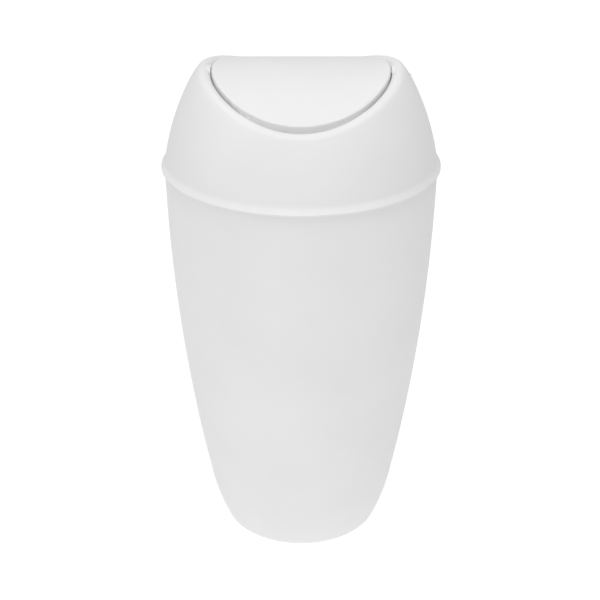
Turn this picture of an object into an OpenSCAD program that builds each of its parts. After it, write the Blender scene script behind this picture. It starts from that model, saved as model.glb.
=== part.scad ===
// Countertop trash can with a swing lid: a bulging cup, a lift-off domed lid and an
// arched flap that swings both ways on two stub pins. Millimetres, +Z up, front at -Y,
// origin on the table under the middle of the base.

/* [Body] */
// Height of the body from the table to the edge of its mouth
body_height = 204; // [170:1:245]
// Outer radius of the body at its mouth
mouth_radius = 68.3; // [60:0.1:82]
// Thickness of the body's side wall
body_wall = 2; // [1.4:0.1:2.8]
// Thickness of the body's base
base_thickness = 2.6; // [2:0.1:5]
// Slope of the side at the mouth, from vertical, in degrees
mouth_slope = 1; // [0:0.1:2]
// Radius of the long bulge of the side
bulge_radius = 930; // [900:5:1400]
// Radius of the turn below the bulge
turn_radius = 120; // [60:1:140]
// Slope of the side where the turn meets the corner, in degrees
turn_slope = 24; // [20:0.5:34]
// Radius of the corner at the base
corner_radius = 8; // [4:0.5:12]
// Width of the ring that the body stands on
foot_width = 5; // [3:0.5:9]
// Depth of the hollow under the base
foot_height = 1; // [0.4:0.1:1.6]

/* [Lid] */
// Height of the lid's crest above the body's mouth
lid_height = 50.5; // [46:0.5:56]
// Overhang of the lid's flange beyond the body's mouth
flange_overhang = 1.7; // [1.2:0.1:4]
// Thickness of the flange
flange_thickness = 2.4; // [1.6:0.1:4]
// Height of the flange's upright edge
edge_height = 0.6; // [0.4:0.1:1.2]
// How far the flange flares out beyond the dome's foot
flare_width = 1.8; // [1:0.1:4]
// How far up the dome's side the flare begins, above the flange
flare_height = 1; // [0.4:0.1:2]
// Thickness of the lid's wall
lid_wall = 1.8; // [1.4:0.1:2.4]
// Slope of the dome where it rises from the flange, from vertical, in degrees
dome_slope = 8.4; // [6:0.1:12]
// Radius of the dome's side
dome_side_radius = 129; // [110:1:160]
// Slope at which the dome's side gives way to its shoulder, in degrees
shoulder_slope = 26.7; // [24:0.1:30]
// Radius of the dome's shoulder
shoulder_radius = 41; // [38:0.5:46]
// Radius of the arch that cuts the dome's top from front to back
arch_radius = 116; // [105:1:130]
// Depth of the spigot that stands in the body's mouth
spigot_depth = 9; // [5:0.5:14]
// Thickness of the spigot's wall
spigot_wall = 1.6; // [1.2:0.1:2.2]

/* [Opening] */
// Width of the crest's inner rounding, which sets how far the opening lies inside the dome
crest_round = 3.7; // [3.2:0.1:4.6]
// How much tighter the opening's front and back ends are than its half width
end_tightening = 3.2; // [2:0.1:6]
// Depth of the collar round the opening, below the crest
collar_depth = 12; // [10.5:0.5:16]
// Thickness of the collar's wall
collar_wall = 1.8; // [1.4:0.1:2.4]

/* [Flap] */
// Drop of the flap's top below the crest
flap_drop = 0.5; // [0.2:0.1:1]
// Thickness of the flap's arched top
flap_wall = 1.7; // [1.4:0.1:2.4]
// Thickness of the flap's skirt
skirt_wall = 1.8; // [1.4:0.1:2.6]
// Depth of the flap's skirt, below its top
skirt_depth = 11; // [9:0.5:13]

/* [Hinge] */
// Depth of the hinge axis below the crest
pin_drop = 4.2; // [4:0.1:5]
// Radius of the flap's stub pins
pin_radius = 2.4; // [2:0.1:2.6]
// Length of each stub pin beyond the flap's side
pin_length = 4.2; // [3:0.1:4.6]
// Wall round the pin's socket
socket_wall = 2.3; // [1.8:0.1:3]
// Wall round the pin where it is rooted in the flap
root_wall = 1.8; // [1.2:0.1:2.4]
// Depth of that root inside the flap's skirt
root_depth = 4; // [2:0.5:8]

/* [Clearances] */
// Gap between the flap and the opening at the front and the back
flap_gap = 0.8; // [0.6:0.1:1.6]
// Gap between the flap and the opening at the sides, where the pins are
side_gap = 0.4; // [0.4:0.1:1.2]
// Gap between the flap's sides and the sockets' faces
boss_gap = 0.3; // [0.2:0.05:0.35]
// Radial clearance of the pins in their sockets
pin_clearance = 0.08; // [0.03:0.01:0.1]
// Gap between a pin's tip and the floor of its socket
tip_gap = 0.4; // [0.3:0.1:0.8]
// Gap between the spigot and the inside of the body's mouth
spigot_gap = 0.3; // [0.2:0.05:0.6]

/* [Hidden] */
$fn = 96;

// A length larger than the whole object, for shapes that only cut or clip
far = 600;

// Extra radius of an oval's ends, so that they cross its sides instead of only touching them
end_crossing = 0.01;

// How much narrower the outline that swings is, so that it never only touches the upright side
swing_tightening = 0.1;

// Body: centres of the three arcs of its outline, from the mouth down. The slope at which the
// bulge gives way to the turn is the one that ends the outline on the table.
bulge_slope = asin((body_height + bulge_radius * sin(mouth_slope) - turn_radius * sin(turn_slope)
    - corner_radius * (1 - sin(turn_slope))) / (bulge_radius - turn_radius));
bulge_centre = [mouth_radius, body_height] + bulge_radius * [-cos(mouth_slope), sin(mouth_slope)];
turn_centre = bulge_centre + (bulge_radius - turn_radius) * [cos(bulge_slope), -sin(bulge_slope)];
corner_centre = turn_centre + (turn_radius - corner_radius) * [cos(turn_slope), -sin(turn_slope)];

// Lid: heights, and centres of the two arcs of the dome's outline, from the flange up
crest_z = body_height + lid_height;
arch_z = crest_z - arch_radius;
flange_radius = mouth_radius + flange_overhang;
flange_top = body_height + flange_thickness;
dome_foot = [flange_radius - flare_width, flange_top];
dome_centre = dome_foot - dome_side_radius * [cos(dome_slope), sin(dome_slope)];
flare_slope = asin((flange_top + flare_height - dome_centre.y) / dome_side_radius);
flare_foot = dome_centre + dome_side_radius * [cos(flare_slope), sin(flare_slope)];
shoulder_centre = dome_centre
    + (dome_side_radius - shoulder_radius) * [cos(shoulder_slope), sin(shoulder_slope)];

// Opening: the dome and the arch, both taken in by crest_round, meet on a saddle-shaped line,
// and the opening stays crest_round inside that line. An oval is given by three numbers: its
// half width, its half length and the radius of its ends.
side_rise = crest_z - crest_round - shoulder_centre.y;
side_reach = shoulder_centre.x + sqrt((shoulder_radius - crest_round) ^ 2 - side_rise ^ 2);
front_reach = reach_of_circles(dome_centre, dome_side_radius - crest_round,
    [0, arch_z], arch_radius - crest_round);
opening = [side_reach - crest_round, front_reach - crest_round,
    side_reach - crest_round - end_tightening];

// Flap and hinge. The flap's side is upright. Lower down it keeps inside what swings through the
// opening: turned about the hinge, its ends may reach further than its half length, because the
// crest is lower there than the hinge.
hinge_z = crest_z - pin_drop;
flap = opening - [side_gap, flap_gap, side_gap];
crest_low_z = arch_z + sqrt((arch_radius - crest_round) ^ 2 - front_reach ^ 2);
flap_swing = longer(grown(flap, -swing_tightening), norm([flap[1], hinge_z - crest_low_z]));
pin_tip = flap[0] + pin_length;
socket_radius = pin_radius + pin_clearance;
spigot_bore = mouth_radius - body_wall - spigot_gap - spigot_wall;

// An oval made larger by the same amount all round
function grown(oval, by) = [for (size = oval) size + by];

// Radius of the long sides of an oval, such that its ends run smoothly into them
function side_radius(oval) =
    (oval[0] ^ 2 - oval[2] ^ 2 + (oval[1] - oval[2]) ^ 2) / (2 * (oval[0] - oval[2]));

// An oval with the same long sides, carried on to another half length
function longer(oval, length) =
    let (sides = side_radius(oval))
    [oval[0], length, (2 * sides * oval[0] - oval[0] ^ 2 - length ^ 2) / (2 * (sides - length))];

// Point of an oval where its outward direction is the one given
function oval_point(oval, out) =
    let (side_centre = side_radius(oval) - oval[0], end_centre = oval[1] - oval[2])
    abs(out.y) * side_centre > abs(out.x) * end_centre
        ? [0, sign(out.y) * end_centre] + oval[2] * out
        : [-sign(out.x) * side_centre, 0] + side_radius(oval) * out;

// How far from the axis two circles meet, on the outer side
function reach_of_circles(centre_a, radius_a, centre_b, radius_b) =
    let (span = norm(centre_b - centre_a),
        unit = (centre_b - centre_a) / span,
        along = (span ^ 2 + radius_a ^ 2 - radius_b ^ 2) / (2 * span),
        off = sqrt(radius_a ^ 2 - along ^ 2))
    centre_a.x + along * unit.x + off * abs(unit.y);

// Points along an arc, from one angle to another
function arc(centre, radius, from, to, steps) =
    [for (i = [0:steps])
        let (angle = from + (to - from) * i / steps)
        centre + radius * [cos(angle), sin(angle)]];

// Outline of the body from the base up to the mouth, taken in by a wall
function body_side(wall) = concat(
    arc(corner_centre, corner_radius - wall, -90, -turn_slope, 8),
    arc(turn_centre, turn_radius - wall, -turn_slope, -bulge_slope, 6),
    arc(bulge_centre, bulge_radius - wall, -bulge_slope,
        asin((body_height - bulge_centre.y) / (bulge_radius - wall)), 16));

// Outline of the dome from the flange up to level, taken in by a wall
function dome_side(wall) = concat(
    arc(dome_centre, dome_side_radius - wall,
        asin((flange_top - dome_centre.y) / (dome_side_radius - wall)), shoulder_slope, 8),
    arc(shoulder_centre, shoulder_radius - wall, shoulder_slope, 90, 14));

// Solid cup that fills the body's outline, taken in by a wall, from a floor up
module cup_form(wall, floor_z, top_z) {
    rotate_extrude()
        intersection() {
            polygon(concat([[0, 0]], body_side(wall), [[0, far]]));
            translate([0, floor_z])
                square([far, top_z - floor_z]);
        }
}

// Solid dome that fills the lid's outline, taken in by a wall. It reaches down into the flange.
module dome_form(wall) {
    foot = [dome_side(wall)[0].x, flange_top - flange_thickness / 2];
    rotate_extrude()
        polygon(concat([[0, foot.y], foot], dome_side(wall),
            [[0, shoulder_centre.y + shoulder_radius - wall]]));
}

// Flat oval of four arcs that run smoothly into each other, its long way along Y
module oval_plate(oval) {
    end_centre = oval[1] - oval[2];
    side_centre = side_radius(oval) - oval[0];
    join_y = side_radius(oval) * end_centre / norm([side_centre, end_centre]);
    intersection() {
        translate([side_centre, 0])
            circle(side_radius(oval));
        translate([-side_centre, 0])
            circle(side_radius(oval));
        union() {
            for (side = [-1, 1])
                translate([0, side * end_centre])
                    circle(oval[2] + end_crossing);
            square([far, 2 * join_y], center = true);
        }
    }
}

// Upright column with an oval section, from the body's mouth up
module oval_column(oval) {
    translate([0, 0, body_height])
        linear_extrude(far)
            oval_plate(oval);
}

// All that an oval sweeps when it is turned about the hinge axis
module swing_envelope(oval) {
    translate([0, 0, hinge_z])
        rotate([0, 90, 0])
            rotate_extrude()
                intersection() {
                    rotate(90)
                        oval_plate(oval);
                    translate([0, -far / 2])
                        square(far);
                }
}

// Everything under an arch that lies a given depth below the crest
module under_arch(depth) {
    translate([0, 0, arch_z])
        rotate([0, 90, 0])
            cylinder(h = far, r = arch_radius - depth, center = true);
}

// What the rounding takes off the edge between the arch and the opening: a ring whose inner
// side is round, carried along the saddle-shaped line that the rounding is centred on. Each
// ring of points has the round stretch, from the arch's side to the opening's, and one more
// corner outside the lid. Its first and last points stand clear of the lid by a small lift.
module crest_cut() {
    rings = 72;
    steps = 5;
    lift = 0.4;
    clear = 2;
    corners = steps + 2;
    centre_line = grown(opening, crest_round);
    points = [for (i = [0:rings - 1])
        let (out = [cos(360 * i / rings), sin(360 * i / rings)],
            plan = oval_point(centre_line, out),
            rise = sqrt((arch_radius - crest_round) ^ 2 - plan.y ^ 2),
            centre = [plan.x, plan.y, arch_z + rise],
            up = [0, plan.y, rise] / (arch_radius - crest_round),
            inward = [-out.x, -out.y, 0],
            side = (inward - (inward * up) * up) / norm(inward - (inward * up) * up),
            spread = acos(inward * up))
        each concat(
            [for (k = [0:steps])
                let (angle = spread * k / steps,
                    reach = crest_round + (k == 0 || k == steps ? lift : 0))
                centre + reach * (cos(angle) * up + sin(angle) * side)],
            [centre + (crest_round + clear) / cos(spread / 2) * (up + inward) / norm(up + inward)])];
    faces = [for (i = [0:rings - 1], k = [0:corners - 1])
        let (next = (i + 1) % rings,
            far_k = (k + 1) % corners,
            a = i * corners + k,
            b = i * corners + far_k,
            c = next * corners + far_k,
            d = next * corners + k)
        each [[a, c, b], [a, d, c]]];
    polyhedron(points, faces);
}

// A rod at each end of the hinge axis, from one distance off the middle to another
module hinge_rods(radius, from, to) {
    for (side = [-1, 1])
        translate([side * (from + to) / 2, 0, hinge_z])
            rotate([0, 90, 0])
                cylinder(h = to - from, r = radius, center = true);
}

// Cup with a small hollow under its base
module bin_body() {
    color("white")
        difference() {
            cup_form(0, 0, body_height);
            cup_form(body_wall, base_thickness, far);
            cylinder(h = 2 * foot_height, r = corner_centre.x - foot_width, center = true);
        }
}

// Flange that rests on the body's mouth and flares out of the dome's side, and the spigot that
// stands in the mouth
module lid_base() {
    inside_wall = flare_foot.x - lid_wall / 2;
    rotate_extrude()
        difference() {
            polygon([[0, body_height], [flange_radius, body_height],
                [flange_radius, body_height + edge_height], flare_foot,
                [inside_wall, flare_foot.y], [inside_wall, flange_top], [0, flange_top]]);
            square([2 * spigot_bore, 2 * far], center = true);
        }
    difference() {
        cup_form(body_wall + spigot_gap, body_height - spigot_depth,
            body_height + flange_thickness / 2);
        cup_form(body_wall + spigot_gap + spigot_wall, 0, far);
    }
}

// Domed shell under the arch, hollow from below. Its crest is solid as deep as its rounding.
module dome_shell() {
    difference() {
        intersection() {
            dome_form(0);
            under_arch(0);
        }
        intersection() {
            dome_form(lid_wall);
            under_arch(crest_round);
        }
    }
}

// Oval plug under the arch, as wide as the outside of the collar and as deep as the collar
module collar_plug() {
    difference() {
        intersection() {
            oval_column(grown(opening, collar_wall));
            under_arch(0);
        }
        under_arch(collar_depth);
    }
}

// Bosses for the hinge's sockets, from the flap's sides out to the dome
module socket_bosses() {
    intersection() {
        hinge_rods(socket_radius + socket_wall, flap[0] + boss_gap, dome_foot.x);
        dome_form(0);
        under_arch(0);
    }
}

// Lid with its flange, spigot, dome, collar and the two blind sockets of the hinge
module lid_dome() {
    color("white")
        difference() {
            union() {
                lid_base();
                difference() {
                    union() {
                        dome_shell();
                        collar_plug();
                    }
                    oval_column(opening);
                    crest_cut();
                }
                socket_bosses();
            }
            hinge_rods(socket_radius, 0, pin_tip + tip_gap);
        }
}

// Upright solid of the flap's outline that swings through the opening, taken in by a wall
module flap_form(wall) {
    intersection() {
        oval_column(grown(flap, -wall));
        swing_envelope(grown(flap_swing, -wall));
    }
}

// Arched flap with a skirt, and the stub pins at its sides
module swing_flap() {
    color("white") {
        difference() {
            intersection() {
                flap_form(0);
                under_arch(flap_drop);
            }
            intersection() {
                flap_form(skirt_wall);
                under_arch(flap_drop + flap_wall);
            }
            under_arch(flap_drop + skirt_depth);
        }
        intersection() {
            hinge_rods(pin_radius + root_wall, flap[0] - skirt_wall - root_depth,
                flap[0] - skirt_wall / 2);
            under_arch(flap_drop);
        }
        hinge_rods(pin_radius, flap[0] - skirt_wall, pin_tip);
    }
}

bin_body();
lid_dome();
swing_flap();
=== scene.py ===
# Looks of the countertop trash can with a swing lid. Each of the three mouldings is built as
# one closed mesh, in millimetres, on the same outlines as its CAD node, and stands for it.
import math

import bpy
import numpy as np
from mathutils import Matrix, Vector


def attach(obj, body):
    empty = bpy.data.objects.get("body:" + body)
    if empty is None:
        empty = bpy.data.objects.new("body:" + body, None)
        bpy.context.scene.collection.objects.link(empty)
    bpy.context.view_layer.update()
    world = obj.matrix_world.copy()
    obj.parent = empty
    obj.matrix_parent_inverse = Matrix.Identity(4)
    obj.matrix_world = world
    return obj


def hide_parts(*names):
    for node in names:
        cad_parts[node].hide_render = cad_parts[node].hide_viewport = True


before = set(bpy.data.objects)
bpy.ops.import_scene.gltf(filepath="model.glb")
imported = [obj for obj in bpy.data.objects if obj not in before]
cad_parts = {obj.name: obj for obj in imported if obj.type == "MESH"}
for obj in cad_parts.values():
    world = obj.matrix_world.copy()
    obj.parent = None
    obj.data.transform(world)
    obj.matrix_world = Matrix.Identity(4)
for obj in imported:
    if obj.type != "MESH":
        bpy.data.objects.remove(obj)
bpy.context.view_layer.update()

MM = 0.001
TINY = 1e-6
AROUND = 256            # points round each ring of the lid and the flap
BODY_AROUND = 224       # points round the body
ROD_AROUND = 64         # points round the pins, the bosses and the bores
HALVINGS = 60           # steps of a bisection
CREST_NEAREST = 20.0    # the crest and the corner under it are looked for from here outwards
CREST_FARTHEST = 66.0   # and up to here
FLAP_NEAREST = 5.0      # and the flap's side from here outwards
FLAP_BEYOND = 3.0       # and up to this far past its ends

# ---------------------------------------------------------------- sizes, in millimetres
BODY_HEIGHT = 204.0
MOUTH_RADIUS = 68.3
BODY_WALL = 2.0
BASE_THICKNESS = 2.6
MOUTH_SLOPE = math.radians(1)
BULGE_RADIUS = 930.0
TURN_RADIUS = 120.0
TURN_SLOPE = math.radians(24)
CORNER_RADIUS = 8.0
FOOT_WIDTH = 5.0
FOOT_HEIGHT = 1.0
MOUTH_ROUND = 0.55      # of both edges of the mouth
HOLLOW_ROUND = 0.45     # where the hollow under the base meets the ring that the body stands on
FOOT_ROUND = 0.35       # of that ring's inner edge
BASE_ROUND = 0.6        # inside, where the base meets the wall

LID_HEIGHT = 50.5
FLANGE_OVERHANG = 1.7
FLANGE_THICKNESS = 2.4
EDGE_HEIGHT = 0.6       # of the flange's upright edge
EDGE_ROUND = 0.6        # of its upper edge
SEAT_ROUND = 0.2        # of its lower edge
FLARE_WIDTH = 1.8       # from the dome's foot out to that edge
FLARE_HEIGHT = 1.0      # of the flare's start on the dome's side, above the flange
FLARE_BLEND = 5.0       # rounding between the dome's side and the flare
FLARE_RUN = 2.0         # stretch of the dome's side that is left to that rounding
LID_WALL = 1.8
DOME_SLOPE = math.radians(8.4)
DOME_SIDE_RADIUS = 129.0
SHOULDER_SLOPE = math.radians(26.7)
SHOULDER_RADIUS = 41.0
ARCH_RADIUS = 116.0
DOME_FOOT_ROUND = 0.6   # inside, where the dome meets the flange
DOME_FOOT_RUN = 3.0     # stretch of the dome's inside that is left to that rounding
SPIGOT_DEPTH = 9.0
SPIGOT_WALL = 1.6
BORE_ROUND = 0.5        # of the bore's upper edge
SPIGOT_ROUND = 0.4      # of both lower edges of the spigot
SPIGOT_ROOT_ROUND = 0.35

CREST_ROUND = 3.7
END_TIGHTENING = 3.2
COLLAR_DEPTH = 12.0
COLLAR_WALL = 1.8
LAND_ROUND = 0.5        # where the collar meets the crest's underside

FLAP_DROP = 0.5
FLAP_WALL = 1.7
SKIRT_WALL = 1.8
SKIRT_DEPTH = 11.0
FLAP_EDGE = 1.0         # rounding between the flap's top and its side
UNDER_ROUND = 0.6       # rounding between the skirt and the underside of the flap's top
THIN_ROUND = 0.45       # of the lower edges of the collar and of the skirt

PIN_DROP = 4.2
PIN_RADIUS = 2.4
PIN_LENGTH = 4.2
SOCKET_WALL = 2.3
ROOT_WALL = 1.8
ROOT_DEPTH = 4.0
PIVOT_ROUND = 0.5       # of the ends of the pins, their roots and the socket bosses
PIN_OVERLAP = 1.0       # of a pin with its root
BORE_START = 2.0        # of the cut for a socket, before the boss's face
BOSS_REACH = 60.0       # past the crest, which the boss is then kept inside
BOSS_COVER = 0.12       # left over the boss by the arch
CREST_COVER = 0.3       # and by the crest's rounding
FLAP_GAP = 0.8          # between the flap and the opening, at the front and the back
SIDE_GAP = 0.4          # and at the sides, where the pins are
BOSS_GAP = 0.3          # between the flap's sides and the sockets' faces
PIN_CLEARANCE = 0.08
TIP_GAP = 0.4
SPIGOT_GAP = 0.3

# ---------------------------------------------------------------- rings of the meshes
CORNER_STEPS = 14
TURN_STEPS = 16
BULGE_STEPS = 64
BASE_STEPS = 6          # of each rounding of the spigot and the flange
ROD_STEPS = 4
DOME_STEPS = 44
CREST_STEPS = 26
INSIDE_STEPS = 30
TOP_STEPS = 26
EDGE_STEPS = 7
UNDER_STEPS = 20
COLLAR_SHARES = (0.06, 0.3, 0.6)            # of the way down the collar's inside
COLLAR_DEPTHS = (9.0, 6.5)                  # on the collar's outside
LAND_SHARES = (0.35, 0.7, 0.94, 1.0)        # of the way out along the crest's underside
SIDE_DEPTHS = (2.1, 3.2, 4.2, 5.6, 7.4, 9.2)    # on the flap's side
SKIRT_DEPTHS = (8.6, 6.2, 4.2)              # inside the skirt
BASE_SUPPORT = 0.25     # from a rounding of the lid's base to the ring that keeps a flat flat
COLLAR_SUPPORT = 0.4    # and from one of the collar
SKIRT_SUPPORT = 0.3     # and from one of the skirt
INSIDE_SUPPORT = 0.02   # the same, as a share of the dome's inside
TOP_SUPPORT = 0.15      # the same, as a part of one step of the flap's top

# ---------------------------------------------------------------- outlines
CREST_Z = BODY_HEIGHT + LID_HEIGHT
ARCH_Z = CREST_Z - ARCH_RADIUS
HINGE_Z = CREST_Z - PIN_DROP
FLANGE_RADIUS = MOUTH_RADIUS + FLANGE_OVERHANG
FLANGE_TOP = BODY_HEIGHT + FLANGE_THICKNESS
LAND_DEPTH = CREST_ROUND

BULGE_SLOPE = math.asin(
    (BODY_HEIGHT + BULGE_RADIUS * math.sin(MOUTH_SLOPE) - TURN_RADIUS * math.sin(TURN_SLOPE)
     - CORNER_RADIUS * (1 - math.sin(TURN_SLOPE))) / (BULGE_RADIUS - TURN_RADIUS))


def polar(radius, angle):
    return radius * np.array([math.cos(angle), math.sin(angle)])


BULGE_CENTRE = np.array([MOUTH_RADIUS, BODY_HEIGHT]) - polar(BULGE_RADIUS, -MOUTH_SLOPE)
TURN_CENTRE = BULGE_CENTRE + polar(BULGE_RADIUS - TURN_RADIUS, -BULGE_SLOPE)
CORNER_CENTRE = TURN_CENTRE + polar(TURN_RADIUS - CORNER_RADIUS, -TURN_SLOPE)
DOME_FOOT = np.array([FLANGE_RADIUS - FLARE_WIDTH, FLANGE_TOP])
DOME_CENTRE = DOME_FOOT - polar(DOME_SIDE_RADIUS, DOME_SLOPE)
FLARE_SLOPE = math.asin((FLANGE_TOP + FLARE_HEIGHT - DOME_CENTRE[1]) / DOME_SIDE_RADIUS)
SIDE_START = FLARE_SLOPE + FLARE_RUN / DOME_SIDE_RADIUS
INSIDE_END = DOME_SLOPE + DOME_FOOT_RUN / DOME_SIDE_RADIUS
SHOULDER_CENTRE = DOME_CENTRE + polar(DOME_SIDE_RADIUS - SHOULDER_RADIUS, SHOULDER_SLOPE)


def arc(centre, radius, start, end, steps):
    """Points (radius, height) along an arc, both ends included."""
    return [centre + polar(radius, start + (end - start) * k / steps) for k in range(steps + 1)]


def body_side(wall, low_z, high_z):
    """Outline of the body taken in by a wall, from one height up to another."""
    mouth_slope = math.asin((BODY_HEIGHT - BULGE_CENTRE[1]) / (BULGE_RADIUS - wall))
    line = (arc(CORNER_CENTRE, CORNER_RADIUS - wall, -math.pi / 2, -TURN_SLOPE, CORNER_STEPS)
            + arc(TURN_CENTRE, TURN_RADIUS - wall, -TURN_SLOPE, -BULGE_SLOPE, TURN_STEPS)[1:]
            + arc(BULGE_CENTRE, BULGE_RADIUS - wall, -BULGE_SLOPE, mouth_slope, BULGE_STEPS)[1:])
    line = np.array(line)
    inside = line[(line[:, 1] > low_z + TINY) & (line[:, 1] < high_z - TINY)]
    ends = [[np.interp(z, line[:, 1], line[:, 0]), z] for z in (low_z, high_z)]
    return np.vstack([ends[0], inside, ends[1]])


def dome_distance(reach, height):
    """Signed distance to the dome's outline, negative inside."""
    from_shoulder = np.hypot(reach - SHOULDER_CENTRE[0], height - SHOULDER_CENTRE[1])
    from_side = np.hypot(reach - DOME_CENTRE[0], height - DOME_CENTRE[1])
    slope = np.arctan2(height - SHOULDER_CENTRE[1], reach - SHOULDER_CENTRE[0])
    return np.where(slope > SHOULDER_SLOPE, from_shoulder - SHOULDER_RADIUS,
                    from_side - DOME_SIDE_RADIUS)


def dome_angle(reach, height):
    """Angle above level of the dome's outward direction at a point on it or inside it."""
    slope = np.arctan2(height - SHOULDER_CENTRE[1], reach - SHOULDER_CENTRE[0])
    side = np.arctan2(height - DOME_CENTRE[1], reach - DOME_CENTRE[0])
    return np.where(slope > SHOULDER_SLOPE, slope, side)


def dome_point(angle, wall):
    """Reach and height of the dome's outline, taken in by a wall, at an outward direction."""
    on_shoulder = angle > SHOULDER_SLOPE
    radius = np.where(on_shoulder, SHOULDER_RADIUS, DOME_SIDE_RADIUS) - wall
    reach = np.where(on_shoulder, SHOULDER_CENTRE[0], DOME_CENTRE[0]) + radius * np.cos(angle)
    height = np.where(on_shoulder, SHOULDER_CENTRE[1], DOME_CENTRE[1]) + radius * np.sin(angle)
    return reach, height


def dome_run(start, end, share):
    """Outward direction at a share of the way along the dome's outline between two others."""
    def length(angle):
        return (DOME_SIDE_RADIUS * np.minimum(angle, SHOULDER_SLOPE)
                + SHOULDER_RADIUS * np.maximum(angle - SHOULDER_SLOPE, 0))
    along = length(start) + (length(end) - length(start)) * share
    bend = DOME_SIDE_RADIUS * SHOULDER_SLOPE
    return np.where(along < bend, along / DOME_SIDE_RADIUS,
                    SHOULDER_SLOPE + (along - bend) / SHOULDER_RADIUS)


def arch_height(depth, y):
    """Height of the arch, a given depth below the crest."""
    return ARCH_Z + np.sqrt((ARCH_RADIUS - depth) ** 2 - y ** 2)


def on_arch(ring, depth):
    """Moves a ring up or down onto the arch, a given depth below the crest."""
    ring[:, 2] = arch_height(depth, ring[:, 1])
    return ring


def root_of(function, low, high):
    """Where a rising function passes zero, for every point round a ring at once."""
    low, high = np.full(AROUND, float(low)), np.full(AROUND, float(high))
    for _ in range(HALVINGS):
        middle = (low + high) / 2
        above = function(middle) > 0
        high = np.where(above, middle, high)
        low = np.where(above, low, middle)
    return (low + high) / 2


# ---------------------------------------------------------------- mesh helpers
HEADINGS = np.arange(AROUND) * 2 * math.pi / AROUND
COS, SIN = np.cos(HEADINGS), np.sin(HEADINGS)


def ring_at(reach, height):
    """Level or uneven ring whose points keep their directions round the axis."""
    return np.stack([reach * COS, reach * SIN, height + 0 * COS], axis=1)


def between(start, end, angle, share):
    """Where a share of the turn from one direction to another, an angle away, leads to."""
    return (np.sin((1 - share) * angle) * start + np.sin(share * angle) * end) / np.sin(angle)


def fillet(points, radii, steps=5, support=0.35):
    """Rounds the corners of an open line of (radius, height) points, with a point near each side
    of a rounding that keeps the shading of the flat parts flat."""
    points = [np.array(p, float) for p in points]
    line = [points[0]]
    for before, corner, after, radius in zip(points, points[1:], points[2:], radii):
        if radius <= 0:
            line.append(corner)
            continue
        to_before = (before - corner) / np.linalg.norm(before - corner)
        to_after = (after - corner) / np.linalg.norm(after - corner)
        half = math.acos(np.clip(to_before @ to_after, -1, 1)) / 2
        leg = radius / math.tan(half)
        middle = (to_before + to_after) / np.linalg.norm(to_before + to_after)
        centre = corner + middle * radius / math.sin(half)
        start, end = corner + to_before * leg - centre, corner + to_after * leg - centre
        if np.linalg.norm(before - corner) > leg + 2 * support:
            line.append(corner + to_before * (leg + support))
        for k in range(steps + 1):
            line.append(centre + between(start, end, math.pi - 2 * half, k / steps))
        if np.linalg.norm(after - corner) > leg + 2 * support:
            line.append(corner + to_after * (leg + support))
    line.append(points[-1])
    return np.array(line)


def quarter_round(corner, first_leg, second_leg, steps=4):
    """Places round a quarter circle that replaces a square corner, from the end of its first leg
    to the end of its second. A place is a depth below the crest and an inset."""
    corner, first_leg, second_leg = map(np.array, (corner, first_leg, second_leg))
    turns = [k / steps * math.pi / 2 for k in range(steps + 1)]
    return [corner + first_leg * (1 - math.sin(turn)) + second_leg * (1 - math.cos(turn))
            for turn in turns]


def add_object(name, data):
    thing = bpy.data.objects.new(name, data)
    bpy.context.scene.collection.objects.link(thing)
    return thing


def outward(mesh):
    """Turns a closed mesh the right way out, by the sign of its volume."""
    mesh.calc_loop_triangles()
    corners = np.array([t.vertices for t in mesh.loop_triangles])
    points = np.array([v.co for v in mesh.vertices])
    a, b, c = points[corners[:, 0]], points[corners[:, 1]], points[corners[:, 2]]
    if np.einsum("ij,ij->i", a, np.cross(b, c)).sum() < 0:
        mesh.flip_normals()


def mesh_of(name, rings, closed=False, poles=(False, False)):
    """Closed skin over rings of points. With closed, the last ring joins the first. A pole is a
    ring drawn together into one point."""
    rings = np.array(rings)
    count, around = rings.shape[:2]
    vertices, index = [], []
    for k in range(count):
        single = (k == 0 and poles[0]) or (k == count - 1 and poles[1])
        start = len(vertices)
        if single:
            vertices.append(rings[k].mean(0))
            index.append([start] * around)
        else:
            vertices.extend(rings[k])
            index.append(list(range(start, start + around)))
    faces = []
    for k in range(count if closed else count - 1):
        lower, upper = index[k], index[(k + 1) % count]
        for i in range(around):
            j = (i + 1) % around
            face = [lower[i], lower[j], upper[j], upper[i]]
            if face[0] == face[1]:
                face = face[1:]
            elif face[2] == face[3]:
                face = face[:3]
            faces.append(face)
    mesh = bpy.data.meshes.new(name)
    mesh.from_pydata((np.array(vertices) * MM).tolist(), [], faces)
    mesh.validate()
    outward(mesh)
    mesh.polygons.foreach_set("use_smooth", [True] * len(mesh.polygons))
    return add_object(name, mesh)


def combine(piece, other, operation):
    """Joins or cuts two closed meshes, and drops the other."""
    step = piece.modifiers.new("combine", "BOOLEAN")
    step.object = other
    step.operation = operation
    step.solver = "EXACT"
    bpy.context.view_layer.update()
    result = bpy.data.meshes.new_from_object(
        piece.evaluated_get(bpy.context.evaluated_depsgraph_get()))
    piece.modifiers.clear()
    old, piece.data = piece.data, result
    result.name = piece.name
    bpy.data.meshes.remove(old)
    bpy.data.objects.remove(other)


def rod(name, side, start, end, radius, rounds=(0, 0), limit=None):
    """Round rod about the hinge axis, on one side, between two distances from the middle, with
    a rounding at each end. Limit, if given, takes points in to where they have to stay."""
    line = fillet([[start, 0], [start, radius], [end, radius], [end, 0]], rounds, ROD_STEPS)
    turn = (np.arange(ROD_AROUND) + 0.5) * 2 * math.pi / ROD_AROUND
    rings = []
    for x, reach in line:
        ring = np.stack([np.full(ROD_AROUND, x), reach * np.cos(turn),
                         HINGE_Z + reach * np.sin(turn)], axis=1)
        rings.append(limit(ring) if limit else ring)
    rings = np.array(rings)
    rings[:, :, 0] *= side
    return mesh_of(name, rings, poles=(True, True))


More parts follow.
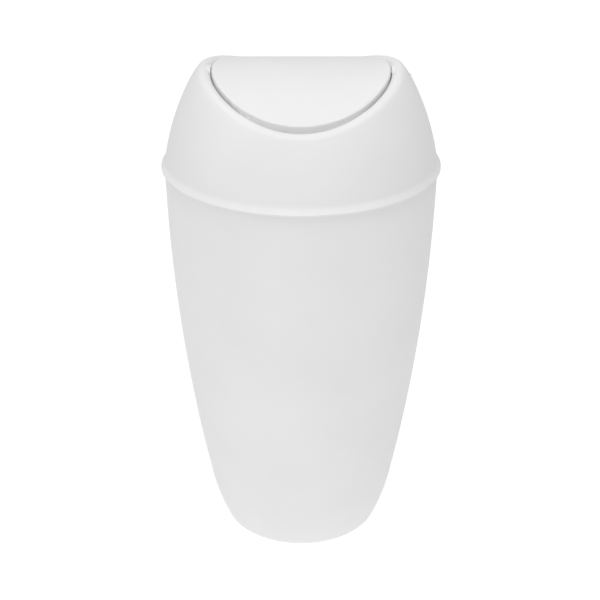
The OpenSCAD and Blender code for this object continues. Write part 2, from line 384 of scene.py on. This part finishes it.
# ---------------------------------------------------------------- body
def make_body():
    outer = body_side(0, 0, BODY_HEIGHT)
    inner = body_side(BODY_WALL, BASE_THICKNESS, BODY_HEIGHT)[::-1]
    foot_inner = CORNER_CENTRE[0] - FOOT_WIDTH
    points = ([[0, FOOT_HEIGHT], [foot_inner, FOOT_HEIGHT], [foot_inner, 0]] + list(outer)
              + list(inner) + [[0, BASE_THICKNESS]])
    radii = ([HOLLOW_ROUND, FOOT_ROUND] + [0] * (len(outer) - 1) + [MOUTH_ROUND, MOUTH_ROUND]
             + [0] * (len(inner) - 2) + [BASE_ROUND])
    line = fillet(points, radii)
    turn = np.arange(BODY_AROUND) * 2 * math.pi / BODY_AROUND
    rings = np.stack([np.outer(line[:, 0], np.cos(turn)), np.outer(line[:, 0], np.sin(turn)),
                      np.repeat(line[:, 1:2], BODY_AROUND, 1)], axis=2)
    return mesh_of("body_moulding", rings, poles=(True, True))


# ---------------------------------------------------------------- opening and flap outlines
def side_radius(oval):
    """Radius of an oval's long sides. The oval is given by its half width, which lies along X,
    its half length and the radius of its ends."""
    width, length, end = oval
    return (width ** 2 - end ** 2 + (length - end) ** 2) / (2 * (width - end))


def oval_parts(oval):
    """Radius of the oval's sides, how far past the middle their centres lie, how far from the
    middle the centres of its ends lie, and the distance from its long axis where they meet."""
    width, length, end = oval
    sides = side_radius(oval)
    back, forth = sides - width, length - end
    return sides, back, forth, end * back / math.hypot(back, forth)


def oval_length(oval, x):
    """Half length of the oval at a distance from its long axis."""
    sides, back, forth, join_x = oval_parts(oval)
    x = np.abs(x)
    near_end = forth + np.sqrt(np.maximum(oval[2] ** 2 - x ** 2, 0))
    on_side = np.sqrt(np.maximum(sides ** 2 - (x + back) ** 2, 0))
    return np.where(x < join_x, near_end, on_side)


def oval_normal(oval, x):
    """Outward direction of the oval, as its parts along X and away from the middle."""
    sides, back, _, join_x = oval_parts(oval)
    out_x = np.where(np.abs(x) < join_x, x / oval[2], (x + np.sign(x) * back) / sides)
    return out_x, np.sqrt(np.maximum(1 - out_x ** 2, 0))


def opening_oval():
    """Outline of the opening from above, through the points where the crest's inner edge crosses
    the two axes."""
    side_rise = CREST_Z - CREST_ROUND - SHOULDER_CENTRE[1]
    half_width = SHOULDER_CENTRE[0] + math.sqrt(
        (SHOULDER_RADIUS - CREST_ROUND) ** 2 - side_rise ** 2) - CREST_ROUND
    span = np.array([0, ARCH_Z]) - DOME_CENTRE
    distance = np.linalg.norm(span)
    unit = span / distance
    near, far = DOME_SIDE_RADIUS - CREST_ROUND, ARCH_RADIUS - CREST_ROUND
    along = (distance ** 2 + near ** 2 - far ** 2) / (2 * distance)
    off = math.sqrt(near ** 2 - along ** 2)
    half_length = DOME_CENTRE[0] + along * unit[0] + off * abs(unit[1]) - CREST_ROUND
    return np.array([half_width, half_length, half_width - END_TIGHTENING])


def swing_oval(oval):
    """Outline that stays inside the opening as it turns about the hinge: the oval with the same
    sides, and with longer ends, because the crest is lower there than the hinge."""
    width, length, _ = oval
    sides = side_radius(oval)
    rise = HINGE_Z - ARCH_Z
    crest_drop = rise - math.sqrt((ARCH_RADIUS - CREST_ROUND) ** 2
                                  - (OPENING[1] + CREST_ROUND) ** 2)
    longer = math.hypot(length, crest_drop)
    end = (2 * sides * width - width ** 2 - longer ** 2) / (2 * (sides - longer))
    return np.array([width, longer, end])


OPENING = opening_oval()
FLAP = OPENING - [SIDE_GAP, FLAP_GAP, SIDE_GAP]
FLAP_SWING = swing_oval(FLAP)
PIN_TIP = FLAP[0] + PIN_LENGTH


# ---------------------------------------------------------------- lid
def crest_line():
    """The line that the lid's crest is rounded about: points, the angle of the dome there, and
    three unit directions, out of the dome, up from the arch, and level towards the opening."""
    inset = ARCH_RADIUS - CREST_ROUND
    reach = root_of(lambda r: dome_distance(r, arch_height(CREST_ROUND, r * SIN)) + CREST_ROUND,
                    CREST_NEAREST, CREST_FARTHEST)
    centre = ring_at(reach, arch_height(CREST_ROUND, reach * SIN))
    y, z = centre[:, 1], centre[:, 2]
    angle = dome_angle(reach, z)
    from_dome = np.stack([np.cos(angle) * COS, np.cos(angle) * SIN, np.sin(angle)], axis=1)
    from_arch = np.stack([np.zeros(AROUND), y, z - ARCH_Z], axis=1) / inset
    along = np.cross(from_dome, from_arch)
    inward = np.stack([-along[:, 1], along[:, 0], np.zeros(AROUND)], axis=1)
    inward /= np.linalg.norm(inward, axis=1, keepdims=True)
    inward *= -np.sign((inward * centre).sum(1, keepdims=True))
    return centre, angle, from_dome, from_arch, inward


CREST, CREST_ANGLE, FROM_DOME, FROM_ARCH, INWARD = crest_line()


def base_rings():
    """Spigot and flange, from inside the dome down, round and up the flare to the dome's side."""
    spigot_low = BODY_HEIGHT - SPIGOT_DEPTH
    outside = body_side(BODY_WALL + SPIGOT_GAP, spigot_low, BODY_HEIGHT)
    bore = MOUTH_RADIUS - BODY_WALL - SPIGOT_GAP - SPIGOT_WALL
    dome_inside = DOME_FOOT[0] - LID_WALL
    corners = (([dome_inside, FLANGE_TOP], DOME_FOOT_ROUND),
               ([bore, FLANGE_TOP], BORE_ROUND),
               ([outside[0][0] - SPIGOT_WALL, spigot_low], SPIGOT_ROUND),
               (outside[0], SPIGOT_ROUND),
               (outside[-1], SPIGOT_ROOT_ROUND),
               ([FLANGE_RADIUS, BODY_HEIGHT], SEAT_ROUND),
               ([FLANGE_RADIUS, BODY_HEIGHT + EDGE_HEIGHT], EDGE_ROUND),
               (dome_point(FLARE_SLOPE, 0), FLARE_BLEND))
    points = ([[dome_inside, FLANGE_TOP + DOME_FOOT_RUN]] + [point for point, _ in corners]
              + [dome_point(SIDE_START, 0)])
    line = fillet(points, [radius for _, radius in corners], BASE_STEPS, BASE_SUPPORT)
    return [ring_at(reach, height) for reach, height in line[1:-1]]


def dome_rings():
    """Dome, up to where the crest's rounding takes over."""
    return [ring_at(*dome_point(dome_run(SIDE_START, CREST_ANGLE, k / DOME_STEPS), 0))
            for k in range(DOME_STEPS)]


def crest_rings():
    """Crest, round from the dome's direction to the opening's."""
    side = FROM_ARCH - (FROM_ARCH * FROM_DOME).sum(1, keepdims=True) * FROM_DOME
    side /= np.linalg.norm(side, axis=1, keepdims=True)
    spread = np.arctan2((INWARD * side).sum(1), (INWARD * FROM_DOME).sum(1))[:, None]
    turns = [spread * k / CREST_STEPS for k in range(CREST_STEPS + 1)]
    return [CREST + CREST_ROUND * (np.cos(turn) * FROM_DOME + np.sin(turn) * side)
            for turn in turns]


def collar_rings():
    """Collar round the opening: down its inside, across its lower edge and up its outside."""
    low = COLLAR_DEPTH - THIN_ROUND - COLLAR_SUPPORT
    outside = CREST_ROUND - COLLAR_WALL
    land = LAND_DEPTH + LAND_ROUND + COLLAR_SUPPORT
    top = CREST + CREST_ROUND * INWARD
    fall = on_arch(top.copy(), low) - top
    rings = [top + fall * share for share in COLLAR_SHARES]
    places = [(low, CREST_ROUND)]
    places += quarter_round((COLLAR_DEPTH, CREST_ROUND), (-THIN_ROUND, 0), (0, -THIN_ROUND))
    places += quarter_round((COLLAR_DEPTH, outside), (0, THIN_ROUND), (-THIN_ROUND, 0))
    places += [(depth, outside) for depth in (low,) + COLLAR_DEPTHS + (land,)]
    places += quarter_round((LAND_DEPTH, outside), (LAND_ROUND, 0), (0, -LAND_ROUND))
    return rings + [on_arch(CREST + inset * INWARD, depth) for depth, inset in places]


def inside_rings(last):
    """Underside of the crest, out from the last ring, and then the dome's inside, down."""
    reach = root_of(lambda r: dome_distance(r, arch_height(LAND_DEPTH, r * SIN)) + LID_WALL,
                    CREST_NEAREST, CREST_FARTHEST)
    corner = ring_at(reach, arch_height(LAND_DEPTH, reach * SIN))
    angle = dome_angle(reach, corner[:, 2])
    shares = [INSIDE_SUPPORT] + [k / INSIDE_STEPS for k in range(1, INSIDE_STEPS + 1)]
    return ([on_arch(last + (corner - last) * share, LAND_DEPTH) for share in LAND_SHARES]
            + [ring_at(*dome_point(dome_run(angle, INSIDE_END, share), LID_WALL))
               for share in shares])


def inside_crest(ring):
    """Takes the points of a socket boss in, to inside the crest and the dome's wall."""
    ring[:, 2] = np.minimum(ring[:, 2], arch_height(BOSS_COVER, ring[:, 1]))
    wall = SHOULDER_CENTRE[0] + np.sqrt((SHOULDER_RADIUS - LID_WALL / 2) ** 2
                                        - (ring[:, 2] - SHOULDER_CENTRE[1]) ** 2)
    rise = np.maximum(ring[:, 2] - CREST[0, 2], 0)
    over = CREST[0, 0] + np.sqrt(np.maximum((CREST_ROUND - CREST_COVER) ** 2 - rise ** 2, 0))
    ring[:, 0] = np.minimum(ring[:, 0], np.minimum(wall, over))
    return ring


def make_lid():
    rings = base_rings() + dome_rings() + crest_rings() + collar_rings()
    lid = mesh_of("lid_moulding", rings + inside_rings(rings[-1]), closed=True)

    # Socket bosses, with their blind bores
    face = FLAP[0] + BOSS_GAP
    bore_radius = PIN_RADIUS + PIN_CLEARANCE
    for side in (-1, 1):
        boss = rod("boss", side, face, BOSS_REACH, bore_radius + SOCKET_WALL, (PIVOT_ROUND, 0),
                   inside_crest)
        combine(lid, boss, "UNION")
        bore = rod("bore", side, face - BORE_START, PIN_TIP + TIP_GAP, bore_radius)
        combine(lid, bore, "DIFFERENCE")
    return lid


# ---------------------------------------------------------------- flap
def flap_ring(depth, inset):
    """Ring where the flap's side, taken in by an inset, meets the arch at a depth. The side is
    upright, and leans in lower down, where it would touch the opening as it swings."""
    def outside(s):
        x, y = s * COS, s * SIN
        z = arch_height(depth, y)
        return np.maximum(np.abs(y) - oval_length(FLAP - inset, x),
                          np.hypot(y, z - HINGE_Z) - oval_length(FLAP_SWING - inset, x))
    reach = root_of(outside, FLAP_NEAREST, FLAP[1] + FLAP_BEYOND)
    return ring_at(reach, arch_height(depth, reach * SIN))


def flap_normal(ring, inset):
    """Outward direction of the flap's side at the points of a ring on it."""
    x, y = ring[:, 0], ring[:, 1]
    off_axis = np.stack([0 * y, y, ring[:, 2] - HINGE_Z], axis=1)
    radius = np.linalg.norm(off_axis, axis=1)
    upright = np.abs(y) - oval_length(FLAP - inset, x) > radius - oval_length(FLAP_SWING - inset, x)
    level = np.stack([0 * y, np.sign(y), 0 * y], axis=1)
    normal = np.zeros_like(ring)
    for oval, away, chosen in ((FLAP, level, upright),
                               (FLAP_SWING, off_axis / radius[:, None], ~upright)):
        out_x, out_r = oval_normal(oval - inset, x)
        along = away * out_r[:, None]
        along[:, 0] = out_x
        normal[chosen] = along[chosen]
    return normal


def top_rings():
    """Top, from its middle out, and the rounding from it over to the side."""
    core = flap_ring(FLAP_DROP + FLAP_EDGE, FLAP_EDGE)
    from_arch = np.stack([np.zeros(AROUND), core[:, 1], core[:, 2] - ARCH_Z], axis=1)
    from_arch /= np.linalg.norm(from_arch, axis=1, keepdims=True)
    from_side = flap_normal(core, FLAP_EDGE)
    spread = np.arccos((from_arch * from_side).sum(1))[:, None]
    rim = core + FLAP_EDGE * from_arch
    shares = [k / TOP_STEPS for k in list(range(TOP_STEPS)) + [TOP_STEPS - TOP_SUPPORT]]
    return ([on_arch(rim * [share, share, 1], FLAP_DROP) for share in shares]
            + [core + FLAP_EDGE * between(from_arch, from_side, spread, k / EDGE_STEPS)
               for k in range(EDGE_STEPS + 1)])


def skirt_rings():
    """Side, lower edge and inside of the skirt, and then the underside of the top."""
    bottom = FLAP_DROP + SKIRT_DEPTH
    low = bottom - THIN_ROUND - SKIRT_SUPPORT
    under = FLAP_DROP + FLAP_WALL
    high = under + UNDER_ROUND + SKIRT_SUPPORT
    places = [(depth, 0) for depth in SIDE_DEPTHS + (low,)]
    places += quarter_round((bottom, 0), (-THIN_ROUND, 0), (0, THIN_ROUND))
    places += quarter_round((bottom, SKIRT_WALL), (0, -THIN_ROUND), (-THIN_ROUND, 0))
    places += [(depth, SKIRT_WALL) for depth in (low,) + SKIRT_DEPTHS + (high,)]
    places += quarter_round((under, SKIRT_WALL), (UNDER_ROUND, 0), (0, UNDER_ROUND))
    rings = [flap_ring(depth, inset) for depth, inset in places]
    shares = [1 - k / UNDER_STEPS for k in range(1, UNDER_STEPS + 1)]
    return rings + [on_arch(rings[-1] * [share, share, 1], under) for share in shares]


def under_top(ring):
    """Takes the points of a pin's root in, to inside the flap's top."""
    ring[:, 2] = np.minimum(ring[:, 2], arch_height(FLAP_DROP + FLAP_WALL / 2, ring[:, 1]))
    return ring


def make_flap():
    flap = mesh_of("flap_moulding", top_rings() + skirt_rings(), poles=(True, True))

    # Stub pins, each rooted in a boss inside the skirt
    root_inner = FLAP[0] - SKIRT_WALL - ROOT_DEPTH
    root_outer = FLAP[0] - SKIRT_WALL / 2
    for side in (-1, 1):
        root = rod("root", side, root_inner, root_outer, PIN_RADIUS + ROOT_WALL,
                   (PIVOT_ROUND, 0), under_top)
        combine(flap, root, "UNION")
        pin = rod("pin", side, root_outer - PIN_OVERLAP, PIN_TIP, PIN_RADIUS, (0, PIVOT_ROUND))
        combine(flap, pin, "UNION")
    return flap


# ---------------------------------------------------------------- finish
TONES = (0.865, 0.895)              # darkest and lightest of the plastic
ROUGHNESS = (0.6, 0.7)              # where it is glossiest and dullest
REFRACTION = 1.5
TONE_NOISE = (22, 3, 0.5)           # scale, detail and roughness of each noise
ROUGHNESS_NOISE = (60, 4, 0.55)
GRAIN_NOISE = (1800, 2, 0.6)
WAVE_NOISE = (45, 2, 0.4)
NOISE_RANGE = (0.3, 0.7)            # that most values of a noise lie in
GRAIN_RELIEF = (0.35, 0.00004)      # strength, and height in metres
WAVE_RELIEF = (0.25, 0.0002)


def grey(level):
    return level, level, level, 1


def white_plastic():
    """Satin white moulded plastic: a fine spark-eroded grain, faint flow waves and a slight
    unevenness of gloss and tone."""
    material = bpy.data.materials.new("white_plastic")
    material.use_nodes = True
    nodes, links = material.node_tree.nodes, material.node_tree.links
    shader = nodes["Principled BSDF"]
    shader.inputs["IOR"].default_value = REFRACTION
    place = nodes.new("ShaderNodeTexCoord")

    def noise(scale, detail, roughness):
        node = nodes.new("ShaderNodeTexNoise")
        node.inputs["Scale"].default_value = scale
        node.inputs["Detail"].default_value = detail
        node.inputs["Roughness"].default_value = roughness
        links.new(place.outputs["Object"], node.inputs["Vector"])
        return node.outputs["Fac"]

    def spread(value, low, high):
        node = nodes.new("ShaderNodeMapRange")
        node.inputs["From Min"].default_value = NOISE_RANGE[0]
        node.inputs["From Max"].default_value = NOISE_RANGE[1]
        node.inputs["To Min"].default_value = low
        node.inputs["To Max"].default_value = high
        links.new(value, node.inputs["Value"])
        return node.outputs["Result"]

    def relief(height, strength, distance):
        node = nodes.new("ShaderNodeBump")
        node.inputs["Strength"].default_value = strength
        node.inputs["Distance"].default_value = distance
        links.new(height, node.inputs["Height"])
        return node

    tone = nodes.new("ShaderNodeMix")
    tone.data_type = "RGBA"
    tone.inputs["A"].default_value = grey(TONES[0])
    tone.inputs["B"].default_value = grey(TONES[1])
    links.new(spread(noise(*TONE_NOISE), 0, 1), tone.inputs["Factor"])
    links.new(tone.outputs["Result"], shader.inputs["Base Color"])
    links.new(spread(noise(*ROUGHNESS_NOISE), *ROUGHNESS), shader.inputs["Roughness"])

    grain = relief(noise(*GRAIN_NOISE), *GRAIN_RELIEF)
    waves = relief(noise(*WAVE_NOISE), *WAVE_RELIEF)
    links.new(waves.outputs["Normal"], grain.inputs["Normal"])
    links.new(grain.outputs["Normal"], shader.inputs["Normal"])
    return material


plastic = white_plastic()
for piece, node, body in ((make_body(), "bin_body", "bin"), (make_lid(), "lid_dome", "lid"),
                          (make_flap(), "swing_flap", "flap")):
    piece.data.materials.clear()
    piece.data.materials.append(plastic)
    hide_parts(node)
    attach(piece, body)

# ---------------------------------------------------------------- stage, in metres and degrees
FLOOR_REACH = 8
FLOOR_TONE = 0.5
FLOOR_ROUGHNESS = 0.9
FLOOR_SPECULAR = 0.1
FLOOR_GLOW = 0.71

LIGHTS = (("top", 0, 88, 25),           # name, azimuth, height angle and watts
          ("front_high", 0, 66, 25.5),
          ("left", -60, 40, 6.2))
LIGHT_AIM = (0, 0, 0.13)
LIGHT_DISTANCE = 2.6
LIGHT_SIZE = 1.8
WORLD_STRENGTH = 0.23

CAMERA_AIM = (0, 0, 0.1276)
CAMERA_DISTANCE = 0.860
CAMERA_HEIGHT_ANGLE = 25.67
SENSOR_WIDTH = 36                       # millimetres, as is the lens
LENS = 98.8
SHIFT_X = -0.0018


def make_floor():
    """Floor that also glows, so that it shows as an even white."""
    edge = FLOOR_REACH
    mesh = bpy.data.meshes.new("floor")
    mesh.from_pydata([(-edge, -edge, 0), (edge, -edge, 0), (edge, edge, 0), (-edge, edge, 0)],
                     [], [(0, 1, 2, 3)])
    material = bpy.data.materials.new("floor")
    material.use_nodes = True
    shader = material.node_tree.nodes["Principled BSDF"]
    shader.inputs["Base Color"].default_value = grey(FLOOR_TONE)
    shader.inputs["Roughness"].default_value = FLOOR_ROUGHNESS
    shader.inputs["Specular IOR Level"].default_value = FLOOR_SPECULAR
    shader.inputs["Emission Color"].default_value = grey(1)
    shader.inputs["Emission Strength"].default_value = FLOOR_GLOW
    mesh.materials.append(material)
    return add_object("floor", mesh)


def aim(thing, target, distance, azimuth, height_angle):
    """Places a light or a camera at a distance from a point, facing it. Azimuth 0 is in front
    and + is to the right."""
    across, up = math.radians(azimuth), math.radians(height_angle)
    out = Vector((math.sin(across) * math.cos(up), -math.cos(across) * math.cos(up), math.sin(up)))
    thing.location = Vector(target) + distance * out
    thing.rotation_mode = "QUATERNION"
    thing.rotation_quaternion = (-out).to_track_quat("-Z", "Y")


def softbox(name, azimuth, height_angle, power):
    """Square soft light aimed at the bin's middle."""
    light = bpy.data.lights.new(name, "AREA")
    light.shape = "SQUARE"
    light.size = LIGHT_SIZE
    light.energy = power
    aim(add_object(name, light), LIGHT_AIM, LIGHT_DISTANCE, azimuth, height_angle)


def make_camera():
    data = bpy.data.cameras.new("camera")
    data.sensor_width = SENSOR_WIDTH
    data.lens = LENS
    data.shift_x = SHIFT_X
    camera = add_object("camera", data)
    aim(camera, CAMERA_AIM, CAMERA_DISTANCE, 0, CAMERA_HEIGHT_ANGLE)
    bpy.context.scene.camera = camera


floor = make_floor()
for light in LIGHTS:
    softbox(*light)

world = bpy.data.worlds.new("studio")
world.use_nodes = True
background = world.node_tree.nodes["Background"]
background.inputs["Color"].default_value = grey(1)
background.inputs["Strength"].default_value = WORLD_STRENGTH
bpy.context.scene.world = world
bpy.context.scene.view_settings.view_transform = "Standard"
make_camera()
